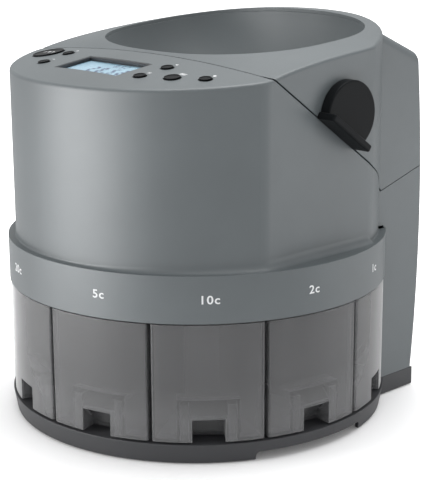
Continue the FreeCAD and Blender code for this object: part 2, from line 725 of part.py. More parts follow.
def make_drive_frame():
    """Two bearing plates held apart by three posts, standing on the chute deck."""
    low = cylinder("frame_low", 46, 3, z="lower_plate")
    foot = cylinder("frame_foot", 58, 1.9, z="frame_foot")
    high = cylinder("frame_high", 58, "frame_top - upper_plate", z="upper_plate")
    parts = [foot, high, cylinder("frame_seat", 16, 7, z="frame_foot"), low]
    for angle in POST_ANGLES:
        x, y = polar(POST_CIRCLE, angle)
        parts.append(cylinder("frame_post", 5, "frame_top - frame_foot - 0.2", x=x, y=y, z="frame_foot"))
    blank = fuse("frame_blank", *parts)
    bores = [cylinder("frame_lower_seat", "bearing_radius", 6, z="lower_plate - 0.1"),
             cylinder("frame_upper_seat", "bearing_radius", 6, z="upper_plate - 0.1"),
             cylinder("frame_shaft", "shaft_radius + 1", 80, z=90),
             cylinder("frame_motor", 14, 60, y="motor_back", z=100)]
    node("drive_frame", cut("drive_frame", blank, fuse("frame_bores", *bores)))


def make_drive_motor():
    can = cylinder("motor_can", "motor_radius", 46, y="motor_back", z=60)
    nose = cylinder("motor_nose", 7, 3, y="motor_back", z=105.9)
    bore = cylinder("motor_bore", "2.5 + running_gap", 20, y="motor_back", z=95)
    ears = box("motor_ears", 56, 12, 2, x=-28, y="motor_back - 6", z=104)
    node("drive_motor", cut("drive_motor", fuse("motor_blank", can, nose, ears), bore))
    node("motor_shaft", cylinder("motor_shaft", 2.5, 36, y="motor_back", z=96))
    node("motor_pulley", pulley("motor_pulley", "small_pulley", "2.51", "motor_back"))
    belt = belt_loop()
    node("drive_belt", shaped("drive_belt", belt))


def belt_loop():
    """Flat belt round both pulleys, with straight runs tangent to them."""
    level = size("belt_level")
    width = size("belt_width")
    large = size("large_pulley")
    small = size("small_pulley")
    span = size("motor_back")

    def filled(grow):
        lean = math.asin((large - small) / span)
        points = []
        for radius, centre in ((large + grow, 0.0), (small + grow, span)):
            points.append(Vector(radius * math.cos(lean), centre + radius * math.sin(lean), level))
        mirrored = [Vector(-p.x, p.y, level) for p in reversed(points)]
        outline = points + mirrored + [points[0]]
        body = Part.Face(Part.makePolygon(outline)).extrude(Vector(0, 0, width))
        body = body.fuse(Part.makeCylinder(large + grow, width, Vector(0, 0, level)))
        return body.fuse(Part.makeCylinder(small + grow, width, Vector(0, span, level)))

    gap = size("running_gap")
    return filled(size("belt_thick") + gap).cut(filled(gap)).removeSplitter()


def make_sensors():
    sensors = []
    for bearing in bin_bearings():
        sensor = box("sensor", 12, 6, 8)
        offset = Placement(Vector(-6, -(size("chute_inner") - 0.4), 0), Rotation())
        sensor.Placement = turned(bearing, z=139.9).multiply(offset)
        sensors.append(sensor)
    node("exit_sensors", group("exit_sensors", *sensors))
    body = doc.addObject("PartDesign::Body", "SensorBoard")
    ring = new_sketch(body, "SensorRing", "138.2")
    sketch_circle(ring, "chute_inner - 0.4")
    sketch_circle(ring, "chute_inner - 15")
    pad(body, ring, "1.6")
    node("sensor_board", body)


# ---------------------------------------------------------------- housing

def make_housing():
    wall = size("shell")
    seam = seam_region("seam_lower", 0, 0)
    above_seam = seam_region("seam_upper", 0.9, 0.9)

    # lower drum: wall, denomination ring and control panel
    front_out = drum_under("front_out", "0", above_panel("above_panel", 0))
    front_out = rounded("front_eased", front_out, size("top_round"), top_outline)
    front_in = drum_under("front_in", "shell", above_panel("above_panel_inner", wall))
    lower = cut("lower_wall", cut("lower_blank", band_and_drum(front_out), front_in), seam)
    holes = []
    for name, x, y, radius in BUTTONS:
        hole = cylinder(name + "_hole", radius + " + button_gap", 30)
        hole.Placement = panel_frame(x, y, -15)
        holes.append(hole)
    window = box("window_hole", "window_width", "window_depth", 40)
    window.Placement = window_frame(-20)
    housing = cut("housing_gated", lower, fuse("housing_gates", *band_hollows()))
    node("front_housing", cut("front_housing", housing, fuse("panel_holes", window, *holes)))

    # the tower, outside and inside, where it stands clear of the crowned top
    column = cylinder("drum_column", "drum_radius", 400)
    outer_top = above_surround("above_surround", 0)
    inner_top = above_surround("above_surround_inner", wall)
    tower_out = cut("tower_outer", tower_outline("tower_out", 0, size("plinth_top") + 0.3),
                    common("over_drum", outer_top, column))
    tower_in = cut("tower_inner", tower_outline("tower_in", wall, size("plinth_top") - 2),
                   common("over_drum_inner", inner_top, column))

    # lower tower: side walls and bowed back
    tower_wall = cut("tower_wall", tower_out, tower_in)
    keep = box("tower_keep", 400, 200, 400, x=-200, y="tower_edge", z=0)
    keep_high = box("tower_keep_high", 400, 200, 400, x=-200, y=88, z="band_top + 2")
    tower_wall = common("tower_shell", tower_wall, fuse("tower_keeps", keep, keep_high))
    axis_cut = hinge_cylinder("hinge_relief", "knuckle_radius + 0.5", -46, 92)
    ports = []
    for x, width, height in PORTS:
        ports.append(box("port_hole", width, 40, height, x=x - width / 2, y=125,
                         z=size("port_level") - height / 2))
    notch = box("tower_notch", 400, 4.2, 15.5, x=-200, y=97.4, z="band_top - 15")
    rear = cut("rear_low", cut("rear_seamed", tower_wall, seam), fuse("rear_cuts", axis_cut, notch, *ports))
    knuckles = [knuckle("rear_knuckle", x, 16, -1) for x in (-46, 30)]
    bore = hinge_cylinder("rear_pin_bore", "pin_radius + running_gap", -60, 120)
    node("rear_cover", cut("rear_cover", fuse("rear_full", rear, *knuckles), bore))

    # hopper unit: surround, upper drum and upper tower in one shell
    rear_out = drum_under("rear_out", "0", outer_top)
    rear_out = rounded("rear_eased", rear_out, size("top_round"), top_outline)
    rear_in = drum_under("rear_in", "shell", inner_top)
    upper_out = fuse("upper_out", rear_out, tower_out)
    tunnel = box("tower_tunnel", "2 * (tower_half - shell)", "tower_foot - 60", 400,
                 x="-(tower_half - shell)", y=60, z=-60)
    upper_in = fuse("upper_in", rear_in, tower_in, common("tunnel", tunnel, tower_in))
    upper = common("upper_shell", cut("upper_blank", upper_out, upper_in), above_seam)
    mouth = shaped("mouth", bowl_loft(0, size("bowl_floor")))
    relief = hinge_cylinder("hinge_relief_upper", "knuckle_radius + 0.5", -46.5, 93)
    upper = cut("upper_open", upper, fuse("upper_cuts", mouth, relief, knob_hole()))
    middle = knuckle("hopper_knuckle", -29.5, 59, 1)
    bore2 = hinge_cylinder("hopper_pin_bore", "pin_radius + running_gap", -60, 120)
    node("hopper_housing", cut("hopper_housing", fuse("upper_full", upper, middle), bore2))
    node("hinge_pin", hinge_cylinder("hinge_pin", "pin_radius", -46, 92))


def knob_hole():
    return cylinder("knob_hole", "latch_shaft + 0.08", 60, x="flat_offset - 20", y="knob_centre_back",
                    z="knob_centre_height", axis=Y_AXIS, angle=90)


def hinge_cylinder(name, radius, start, length):
    return cylinder(name, radius, length, x=start, y="hinge_back", z="hinge_height",
                    axis=Y_AXIS, angle=90)


def knuckle(name, start, length, side):
    """A hinge barrel and the web that ties it to the wall above or below it."""
    barrel = hinge_cylinder(name + "_barrel", "knuckle_radius", start, length)
    web_height = 9
    web = box(name + "_web", length, 5.4, web_height, x=start, y="hinge_back - 5.6",
              z="hinge_height + %s" % (1.6 if side > 0 else -1 - web_height))
    return fuse(name, barrel, web)


def oval_wire(half_width, half_depth, centre, level, fullness):
    """Closed outline round a centre on the Y axis; a fullness of 2 gives an ellipse."""
    points = []
    for i in range(48):
        angle = 2 * math.pi * i / 48
        x = math.copysign(abs(math.cos(angle)) ** (2 / fullness), math.cos(angle))
        y = math.copysign(abs(math.sin(angle)) ** (2 / fullness), math.sin(angle))
        points.append(Vector(half_width * x, centre + half_depth * y, level))
    curve = Part.BSplineCurve()
    curve.interpolate(points, PeriodicFlag=True)
    return Part.Wire(curve.toShape())


def panel_frame(x, y, depth):
    """Placement on the panel at x, y whose +Z is the surface's outward normal."""
    slope = math.tan(math.radians(size("panel_slope")))
    normal = Vector(2 * size("crown") * x, -slope, 1)
    normal.normalize()
    spot = Vector(x, y, panel_height(x, y)) + normal * depth
    return Placement(spot, Rotation(Z_AXIS, normal))


def window_frame(depth):
    """Corner placement of a box centred on the display, tilted with the panel."""
    x = size("window_centre_x")
    y = size("window_centre_y")
    tilt = Rotation(X_AXIS, size("panel_slope"))
    normal = tilt.multVec(Z_AXIS)
    spot = Vector(x, y, panel_height(0, y)) + normal * depth
    corner = tilt.multVec(Vector(-size("window_width") / 2, -size("window_depth") / 2, 0))
    return Placement(spot + corner, tilt)


# ---------------------------------------------------------------- panel

def make_panel():
    for name, x, y, radius in BUTTONS:
        cap = cylinder(name + "_cap", radius, "button_rise + 4", z="-4")
        flange = cylinder(name + "_flange", radius + " + button_gap + 0.8", 1, z="-shell - 2.2")
        dish = cylinder(name + "_dish", radius + " - 0.9", 1, z="button_rise - 0.3")
        button = cut(name + "_local", fuse(name + "_blank", cap, flange), dish)
        placed = placed_copy(name + "_at", button, panel_frame(x, y, 0))
        node(name, placed)
    frame_out = box("bezel_out", "window_width - 0.4", "window_depth - 0.4", "recess_depth + 4")
    frame_out.Placement = moved(window_frame(-size("recess_depth") - 4), 0.2, 0.2, 0)
    frame_in = box("bezel_in", "window_width - 3", "window_depth - 3", 40)
    frame_in.Placement = moved(window_frame(-20), 1.5, 1.5, 0)
    seat = box("bezel_seat", "window_width - 1.8", "window_depth - 1.8", 10)
    seat.Placement = moved(window_frame(-size("recess_depth") - 10), 0.9, 0.9, 0)
    trim = above_panel("bezel_trim", 0.35)
    bezel = cut("bezel_cut", frame_out, fuse("bezel_cuts", frame_in, seat, trim))
    node("display_bezel", bezel)
    pane = box("pane", "window_width - 2", "window_depth - 2", 1.2)
    pane.Placement = moved(window_frame(-size("recess_depth") - 1.25), 1, 1, 0)
    node("display_window", pane)
    glass = box("lcd", "window_width - 2.2", "window_depth - 2.2", 2.6)
    glass.Placement = moved(window_frame(-size("recess_depth") - 3.9), 1.1, 1.1, 0)
    node("lcd_module", glass)
    node("control_board", control_board())


def moved(placement, x, y, z):
    return placement.multiply(Placement(Vector(x, y, z), Rotation()))


def control_board():
    level = panel_height(0, -91.0) - 15.5
    tilt = Rotation(X_AXIS, size("panel_slope"))
    board = box("control_blank", 230, 72, 1.6)
    offset = tilt.multVec(Vector(-115, -36, 0))
    board.Placement = Placement(Vector(0, -91, level) + offset, tilt)
    inside = cylinder("control_trim", "drum_radius - shell - 5", 200, z=180)
    sides = box("control_sides", "2 * (flat_offset - shell - 8)", 400, 200,
                x="-(flat_offset - shell - 8)", y=-200, z=180)
    return common("control_board", board, inside, sides)


# ---------------------------------------------------------------- hopper and latch

def bowl_loft(grow, low):
    """The bowl's form from its round floor at a level up to the oval opening, widened by grow."""
    floor_radius = size("bowl_floor_radius") + grow
    half_width = size("opening_half_width") + grow
    half_depth = size("opening_half_depth") + grow
    centre = size("opening_centre")
    floor_centre = size("bowl_floor_centre")
    full = size("opening_fullness")
    wires = [
        oval_wire(floor_radius, floor_radius, floor_centre, low, 2.0),
        oval_wire(half_width - 14, half_depth - 12, (centre + floor_centre) / 2, 256, (2 + full) / 2),
        oval_wire(half_width - 1.5, half_depth - 1.5, centre, 286, full),
        oval_wire(half_width + 0.5, half_depth + 0.5, centre, 318, full),
    ]
    return Part.makeLoft(wires, True, False)


def make_hopper():
    floor = size("bowl_floor")
    wall = size("bowl_wall")
    outside = shaped("bowl_outside", bowl_loft(wall, floor - 3))
    inside = shaped("bowl_inside", bowl_loft(0, floor))
    trim = above_surround("bowl_trim", size("shell") + 0.05)
    exit_hole = box("bowl_exit", 26, 20, 20, x=SPOUT[0] - 13, y=SPOUT[1] - 10, z=floor - 10)
    shaft_hole = cylinder("bowl_shaft_hole", 4.2, 20, y="bowl_floor_centre", z=floor - 10)
    bowl = cut("hopper_bowl", outside, fuse("bowl_cuts", inside, trim, exit_hole, shaft_hole))
    node("hopper_bowl", bowl)
    disc = cylinder("disc_plate", "disc_radius", 3, y="bowl_floor_centre", z="bowl_floor + 0.6")
    cap = cone("disc_cap", 16, 6, 7, y="bowl_floor_centre", z="bowl_floor + 3")
    holes = [cylinder("disc_bore", 4.0, 40, y="bowl_floor_centre", z="bowl_floor - 30")]
    for i in range(6):
        angle = math.radians(60 * i)
        holes.append(cylinder("disc_pocket", 13.6, 10, x=40 * math.cos(angle),
                              y=size("bowl_floor_centre") + 40 * math.sin(angle), z="bowl_floor - 1"))
    node("hopper_disc", cut("hopper_disc", fuse("disc_full", disc, cap), fuse("disc_holes", *holes)))
    node("hopper_shaft", cylinder("hopper_shaft", 3.99, 24, y="bowl_floor_centre", z="bowl_floor - 20"))
    body = cylinder("gearmotor_body", 21, 27, y="bowl_floor_centre", z="bowl_floor - 31")
    flange = cylinder("gearmotor_flange", 30, 2.4, y="bowl_floor_centre", z="bowl_floor - 5.5")
    bore = cylinder("gearmotor_bore", "4 + running_gap", 60, y="bowl_floor_centre", z="bowl_floor - 22")
    node("hopper_gearmotor", cut("hopper_gearmotor", fuse("gearmotor_blank", body, flange), bore))
    low = size("spout_bottom")
    tube = box("spout_tube", 30, 22, floor - 3.1 - low, x=SPOUT[0] - 15, y=SPOUT[1] - 10, z=low)
    bore = box("spout_bore", 26, 18, 80, x=SPOUT[0] - 13, y=SPOUT[1] - 8, z=low - 5)
    node("coin_spout", cut("coin_spout", tube, bore))


def make_latch():
    tilt = math.degrees(math.atan2(SEAM_BEND[1] - SEAM_TOP, SEAM_BEND[0] - size("seam_front")))
    centre = Vector(size("flat_offset") + 0.3, size("knob_centre_back"), size("knob_centre_height"))
    # local frame: +Z out of the side, +X along the grip, +Y away from the seam
    along = Rotation(X_AXIS, tilt).multiply(Rotation(Vector(1, 1, 1), 120))
    frame = Placement(centre, along)
    disc = cylinder("knob_disc", "knob_radius", "knob_disc_thick")
    soft = rounded("knob_soft", disc, 1.2, lambda edge: edge.CenterOfMass.z > 1)
    chord = box("knob_chord", 80, 40, 40, x=-40, y="-grip_outer - 40", z=-10)
    grip = box("knob_grip", "grip_length", "grip_thick", "grip_stand", x="-grip_length / 2",
               y="-grip_outer", z=0)
    grip = rounded("grip_soft", grip, 1.4, lambda edge: edge.CenterOfMass.z > 1)
    blank = fuse("knob_blank", cut("knob_d", soft, chord), grip)
    socket = cylinder("knob_socket", "latch_shaft", 30, z=-25)
    end = box("socket_end", 20, 20, 20, x=-10, y=-10, z=5)
    knob = cut("knob_local", blank, cut("socket_short", socket, end))
    node("latch_knob", placed_copy("latch_knob", knob, frame))
    shaft = cylinder("latch_shaft_rod", "latch_shaft - 0.01", 15, z=-10.2)
    arm = box("latch_arm", 26, 7, 4, x=0, y=-3.5, z=-10.2)
    boss = cylinder("latch_boss", 7, 4, z=-10.2)
    cam = fuse("cam_local", shaft, arm, boss)
    node("latch_cam", placed_copy("latch_cam", cam, frame))
    catch = box("catch_local", 7, 5.5, 8.05, x=19, y=0, z=-11.2)
    turned_frame = frame.multiply(Placement(Vector(), Rotation(Z_AXIS, -90)))
    catch_at = turned_frame.multiply(Placement(Vector(0, -9.6, 0), Rotation()))
    node("latch_catch", placed_copy("latch_catch", catch, catch_at))


# ---------------------------------------------------------------- electronics and rear

def make_electronics():
    node("power_supply", box("power_supply", 96, 30, 48, x=-48, y=101, z=56))
    board = box("main_board_sheet", 150, 1.6, 72, x=-75, y=137.0, z=76)
    chips = [box("main_chip", 18, 3, 18, x=x, y=134.1, z=z) for x, z in ((-40, 96), (0, 112), (36, 92))]
    node("main_board", fuse("main_board", board, *chips))
    inlet_x, switch_x, data_x = (port[0] for port in PORTS)
    wall_y = size("wall_face")
    level = size("port_level")
    inlet = box("inlet_block", 27, 26, 19.4, x=inlet_x - 13.5, y=wall_y - 20, z=level - 9.7)
    well = box("inlet_well", 22, 20, 14.4, x=inlet_x - 11, y=wall_y - 12, z=level - 7.2)
    pins = [box("inlet_pin", 2, 12, 4, x=inlet_x - 1 + dx, y=wall_y - 13, z=level - 2 + dz)
            for dx, dz in ((-6, -1.5), (0, 2.5), (6, -1.5))]
    node("power_inlet", fuse("power_inlet", cut("inlet_cut", inlet, well), *pins))
    body = box("switch_block", 20.8, 26, 13.8, x=switch_x - 10.4, y=wall_y - 20, z=level - 6.9)
    well = box("switch_well", 17.4, 30, 10.6, x=switch_x - 8.7, y=wall_y - 8, z=level - 5.3)
    node("switch_body", cut("switch_body", body, well))
    pivot_y = wall_y - 1.0
    wheel = cylinder("rocker_wheel", 8.0, 10.0, x=switch_x, y=pivot_y, z=level - 5)
    front = box("rocker_front", 40, 20, 20, x=switch_x - 20, y=pivot_y + 5.4, z=level - 10)
    back = box("rocker_back", 40, 20, 20, x=switch_x - 20, y=pivot_y - 25, z=level - 10)
    node("switch_rocker", cut("switch_rocker", wheel, fuse("rocker_cuts", front, back)))
    port = box("data_block", 30.4, 22, 11.8, x=data_x - 15.2, y=wall_y - 17.5, z=level - 5.9)
    well = box("data_well", 18, 6, 7, x=data_x - 9, y=wall_y + 0.5, z=level - 3.5)
    node("data_port", cut("data_port", port, well))


make_base()
make_bin_bay()
make_bins()
make_chute_deck()
make_sorting_plate()
make_sorter_drive()
make_drive_frame()
make_drive_motor()
make_sensors()
make_housing()
make_panel()
make_hopper()
make_latch()
make_electronics()

doc.recompute()
for thing in doc.Objects:
    if "Invalid" in thing.State or "Error" in thing.State:
        raise RuntimeError("failed object: %s (%s)" % (thing.Name, thing.Label))
for thing in nodes:
    if thing.Shape.isNull() or not thing.Shape.isValid():
        raise RuntimeError("bad shape: " + thing.Label)

os.makedirs("parts", exist_ok=True)
for thing in nodes:
    thing.Shape.exportStep(os.path.join("parts", thing.Label + ".step"))
    print("%-22s solids %d  volume %.0f" % (thing.Label, len(thing.Shape.Solids), thing.Shape.Volume))
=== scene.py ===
import json
import math

import bmesh
import bpy
from mathutils import Matrix, Vector
from mathutils.bvhtree import BVHTree


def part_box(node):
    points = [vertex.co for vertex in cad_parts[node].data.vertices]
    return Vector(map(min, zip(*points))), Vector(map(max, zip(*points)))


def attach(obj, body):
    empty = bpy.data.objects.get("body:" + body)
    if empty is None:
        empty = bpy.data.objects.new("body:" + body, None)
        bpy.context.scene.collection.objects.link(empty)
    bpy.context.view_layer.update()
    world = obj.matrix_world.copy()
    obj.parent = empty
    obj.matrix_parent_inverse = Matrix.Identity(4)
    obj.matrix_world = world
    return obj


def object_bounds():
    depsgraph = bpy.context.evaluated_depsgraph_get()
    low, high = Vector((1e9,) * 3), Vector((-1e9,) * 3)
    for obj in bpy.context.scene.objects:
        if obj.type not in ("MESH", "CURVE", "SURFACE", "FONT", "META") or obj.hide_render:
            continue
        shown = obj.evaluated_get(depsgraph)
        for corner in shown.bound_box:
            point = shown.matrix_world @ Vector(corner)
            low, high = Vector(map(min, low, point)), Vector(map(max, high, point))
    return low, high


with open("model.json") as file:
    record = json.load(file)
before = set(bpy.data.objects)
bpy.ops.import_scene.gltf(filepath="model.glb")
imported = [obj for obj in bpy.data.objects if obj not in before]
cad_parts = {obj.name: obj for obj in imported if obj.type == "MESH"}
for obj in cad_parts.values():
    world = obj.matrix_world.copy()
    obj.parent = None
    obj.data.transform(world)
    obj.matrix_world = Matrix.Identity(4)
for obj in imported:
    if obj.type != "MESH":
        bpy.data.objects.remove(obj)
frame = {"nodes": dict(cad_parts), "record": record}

cad_low, cad_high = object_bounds()
MM = 0.001

# ---------------------------------------------------------------- sizes and places

BAND_HEIGHT = 35.5 * MM
LABEL_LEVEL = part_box("front_housing")[0].z + BAND_HEIGHT / 2
LABEL_HEIGHT = 6.4 * MM
LABEL_SPREAD = 1.12
LABEL_BOLD = 0.14 * MM
INK_THICKNESS = 0.05 * MM
# bearings of the printed denominations from the front, degrees towards the operator's right
LABELS = {"1c": 110.4, "2c": 81.2, "10c": 50.2, "5c": 18.6,
          "20c": -18.6, "1": -50.2, "50c": -81.2, "2": -110.4}

# share of a font's size taken up by the height of its figures
FIGURE_SHARE = 0.73

CAMERA_EYE = Vector((0.8258, -0.7695, 0.4200))
CAMERA_AIM = Vector((-0.7013, 0.6683, -0.2481))
CAMERA_ROLL = math.radians(-0.32)
CAMERA_LENS = 108.05

# painted floor glow, seen by the camera only, near the machine and further off, and where those are;
# the weak glow near the machine paints shade round its foot
FLOOR_GLOW = (0.08, 0.95)
GLOW_REACH = (0.15, 0.42)
WORLD_STRENGTH = 0.68
LIGHTS_AIM = Vector((0, 0, 0.17))
# name, place, width and height, power, whether it only shows as a reflection
LIGHTS = [
    ("key_front_left", (-0.75, -1.30, 0.60), (0.60, 0.90), 8, False),
    ("right", (1.9, 0.35, 0.9), (0.9, 1.2), 1.2, False),
    ("top", (-0.05, 0.35, 1.9), (1.5, 1.5), 31, False),
    ("sheen_left", (-0.17, -0.58, 0.17), (0.50, 0.34), 3.6, True),
    ("sheen_right", (0.55, 0.50, 0.15), (0.35, 0.30), 0.6, True),
]


# ---------------------------------------------------------------- material helpers

class Graph:
    """Short hand for building a material's node graph."""

    def __init__(self, name):
        self.material = bpy.data.materials.new(name)
        self.material.use_nodes = True
        self.tree = self.material.node_tree
        self.tree.nodes.clear()
        self.output = self.add("ShaderNodeOutputMaterial")

    def add(self, kind, **settings):
        node = self.tree.nodes.new(kind)
        for key, value in settings.items():
            setattr(node, key, value)
        return node

    def feed(self, node, socket, value):
        target = node.inputs[socket]
        if isinstance(value, bpy.types.NodeSocket):
            self.tree.links.new(value, target)
        else:
            target.default_value = value

    def coordinates(self):
        return self.add("ShaderNodeTexCoord").outputs["Object"]

    def noise(self, scale, detail=3.0, roughness=0.55, vector=None):
        node = self.add("ShaderNodeTexNoise")
        self.feed(node, "Vector", vector or self.coordinates())
        self.feed(node, "Scale", scale)
        self.feed(node, "Detail", detail)
        self.feed(node, "Roughness", roughness)
        return node.outputs["Fac"]

    def remap(self, value, low, high, from_low=0.0, from_high=1.0):
        node = self.add("ShaderNodeMapRange")
        self.feed(node, "Value", value)
        self.feed(node, "From Min", from_low)
        self.feed(node, "From Max", from_high)
        self.feed(node, "To Min", low)
        self.feed(node, "To Max", high)
        return node.outputs["Result"]

    def math(self, operation, first, second):
        node = self.add("ShaderNodeMath", operation=operation)
        self.feed(node, 0, first)
        self.feed(node, 1, second)
        return node.outputs[0]

    def scaled(self, first, second):
        return self.math("MULTIPLY", first, second)

    def added(self, first, second):
        return self.math("ADD", first, second)

    def mix_color(self, factor, first, second):
        node = self.add("ShaderNodeMix", data_type="RGBA")
        self.feed(node, 0, factor)
        self.feed(node, 6, first)
        self.feed(node, 7, second)
        return node.outputs[2]

    def bump(self, height, strength, distance, normal=None):
        node = self.add("ShaderNodeBump")
        self.feed(node, "Height", height)
        self.feed(node, "Strength", strength)
        self.feed(node, "Distance", distance)
        if normal is not None:
            self.feed(node, "Normal", normal)
        return node.outputs["Normal"]

    def soft_edges(self, radius):
        node = self.add("ShaderNodeBevel", samples=6)
        self.feed(node, "Radius", radius)
        return node.outputs["Normal"]

    def edge_mask(self, radius):
        """1 on convex edges, where highlights are painted, 0 on flat faces."""
        bevel = self.soft_edges(radius)
        geometry = self.add("ShaderNodeNewGeometry")
        dot = self.add("ShaderNodeVectorMath", operation="DOT_PRODUCT")
        self.feed(dot, 0, bevel)
        self.feed(dot, 1, geometry.outputs["Normal"])
        return self.remap(dot.outputs["Value"], 1.0, 0.0, 0.90, 0.995)

    def outer_fresnel(self, ior):
        """Share of light mirrored by the outer skin; the inner skin stays clear at a low angle."""
        fresnel = self.add("ShaderNodeFresnel")
        self.feed(fresnel, "IOR", ior)
        inside = self.add("ShaderNodeNewGeometry").outputs["Backfacing"]
        return self.scaled(fresnel.outputs[0], self.remap(inside, 1.0, 0.0))

    def mixed(self, factor, first, second):
        node = self.add("ShaderNodeMixShader")
        self.feed(node, 0, factor)
        self.tree.links.new(first, node.inputs[1])
        self.tree.links.new(second, node.inputs[2])
        return node.outputs[0]

    def principled(self, **inputs):
        node = self.add("ShaderNodeBsdfPrincipled")
        for key, value in inputs.items():
            self.feed(node, key.replace("_", " "), value)
        return node.outputs["BSDF"]

    def finish(self, shader):
        self.tree.links.new(shader, self.output.inputs["Surface"])
        return self.material


def rgba(red, green, blue):
    return (red, green, blue, 1.0)


def moulded_plastic(name, color, roughness, grain=0.00010, edge=0.0007, specular=0.5):
    """Injection-moulded plastic: fine spark texture, faint mottling, a painted highlight on convex
    edges.
    """
    graph = Graph(name)
    broad = graph.noise(9.0, 4.0)
    fine = graph.noise(2600.0, 2.0)
    shade = tuple(channel * 0.90 for channel in color)
    light = tuple(min(channel * 1.07, 1.0) for channel in color)
    base = graph.mix_color(graph.remap(broad, 0.0, 1.0, 0.3, 0.7), rgba(*shade), rgba(*light))
    # painted highlight: convex edges are mixed up to half way towards a paler colour
    edge_highlight_mask = graph.edge_mask(edge)
    edge_highlight_color = tuple(min(channel * 1.35 + 0.01, 1.0) for channel in color)
    base = graph.mix_color(graph.remap(edge_highlight_mask, 0.0, 0.5), base, rgba(*edge_highlight_color))
    rough = graph.remap(fine, roughness - 0.05, roughness + 0.06)
    normal = graph.bump(fine, 0.35, grain, graph.soft_edges(edge))
    shader = graph.principled(Base_Color=base, Roughness=rough, Normal=normal,
                              Specular_IOR_Level=specular)
    return graph.finish(shader)


def smoky_plastic(name, tint, clear, haze_share):
    """Translucent tinted polystyrene: part see-through, part milky haze, satin outer skin.

    The milky share grows at the edges, as a painted highlight there, and towards the bottom, and
    falls in the deep parts behind the bin's front.
    """
    graph = Graph(name)
    haze = graph.noise(28.0, 3.0)
    scratches = graph.noise(500.0, 6.0, 0.7)
    normal = graph.bump(haze, 0.04, 0.0006, graph.soft_edges(0.0006))
    streaks = graph.add("ShaderNodeMapping")
    graph.feed(streaks, "Vector", graph.coordinates())
    graph.feed(streaks, "Scale", (90.0, 90.0, 4.0))
    flow = graph.noise(1.0, 3.0, 0.5, streaks.outputs["Vector"])
    darker = tuple(channel * 0.86 for channel in tint)
    color = graph.mix_color(graph.remap(flow, 0.0, 1.0, 0.35, 0.65), rgba(*darker), rgba(*tint))
    body = graph.principled(Base_Color=color, Roughness=0.6, Normal=normal, Specular_IOR_Level=0.0)
    see_through = graph.add("ShaderNodeBsdfTransparent")
    graph.feed(see_through, "Color", rgba(*clear))
    # painted highlight: extra milky haze on convex edges makes them paler
    painted_edge_highlight = graph.scaled(graph.edge_mask(0.9 * MM), 0.35)
    place = graph.add("ShaderNodeSeparateXYZ")
    graph.feed(place, 0, graph.coordinates())
    x, y, z = place.outputs
    # milky share raised by 0.15 at the bottom, fading out between 30 and 60 mm high
    milkier_low = graph.remap(z, 0.15, 0.0, 30 * MM, 60 * MM)
    milky = graph.added(graph.remap(haze, haze_share - 0.03, haze_share + 0.03), painted_edge_highlight)
    milky = graph.added(milky, milkier_low)
    reach = graph.math("SQRT", graph.added(graph.scaled(x, x), graph.scaled(y, y)), 0.0)
    milky = graph.scaled(milky, graph.remap(reach, 0.30, 1.0, 132 * MM, 143 * MM))
    walls = graph.mixed(milky, see_through.outputs[0], body)
    gloss = graph.add("ShaderNodeBsdfGlossy")
    graph.feed(gloss, "Roughness", graph.remap(scratches, 0.36, 0.46))
    graph.feed(gloss, "Normal", normal)
    return graph.finish(graph.mixed(graph.outer_fresnel(1.5), walls, gloss.outputs[0]))


def clear_pane(name):
    """Clear window with a bright outer skin."""
    graph = Graph(name)
    gloss = graph.add("ShaderNodeBsdfGlossy")
    graph.feed(gloss, "Roughness", graph.remap(graph.noise(60.0), 0.03, 0.09))
    see_through = graph.add("ShaderNodeBsdfTransparent")
    graph.feed(see_through, "Color", rgba(0.96, 0.98, 0.99))
    mirrored = graph.outer_fresnel(1.4)
    return graph.finish(graph.mixed(mirrored, see_through.outputs[0], gloss.outputs[0]))


def backlit_lcd(name):
    """Pale blue backlit panel with an uneven backlight."""
    graph = Graph(name)
    glow = graph.noise(18.0, 2.0)
    color = graph.mix_color(graph.remap(glow, 0.0, 1.0, 0.3, 0.7), rgba(0.26, 0.43, 0.54),
                            rgba(0.42, 0.60, 0.70))
    shader = graph.principled(Base_Color=color, Roughness=0.25, Emission_Color=color,
                              Emission_Strength=0.15)
    return graph.finish(shader)


def brushed_metal(name, color):
    """Steel with fine lines brushed across it."""
    graph = Graph(name)
    stretch = graph.add("ShaderNodeMapping")
    graph.feed(stretch, "Vector", graph.coordinates())
    graph.feed(stretch, "Scale", (60.0, 60.0, 2400.0))
    lines = graph.noise(1.0, 3.0, 0.6, stretch.outputs["Vector"])
    normal = graph.bump(lines, 0.25, 0.0001, graph.soft_edges(0.0003))
    shader = graph.principled(Base_Color=rgba(*color), Metallic=1.0, Normal=normal,
                              Roughness=graph.remap(lines, 0.25, 0.45))
    return graph.finish(shader)


def circuit_board(name):
    """Green solder mask over a net of tracks."""
    graph = Graph(name)
    cells = graph.add("ShaderNodeTexVoronoi", feature="DISTANCE_TO_EDGE")
    graph.feed(cells, "Vector", graph.coordinates())
    graph.feed(cells, "Scale", 160.0)
    tracks = graph.remap(cells.outputs["Distance"], 1.0, 0.0, 0.02, 0.06)
    color = graph.mix_color(tracks, rgba(0.01, 0.13, 0.05), rgba(0.10, 0.30, 0.14))
    normal = graph.bump(tracks, 0.3, 0.0001)
    return graph.finish(graph.principled(Base_Color=color, Roughness=0.35, Normal=normal))


def printed_ink(name, color):
    """Matt ink, a little uneven."""
    graph = Graph(name)
    wear = graph.noise(900.0, 3.0)
    tone = graph.mix_color(graph.remap(wear, 0.0, 0.25), rgba(*color),
                           rgba(*[channel * 0.8 for channel in color]))
    return graph.finish(graph.principled(Base_Color=tone, Roughness=graph.remap(wear, 0.4, 0.55)))


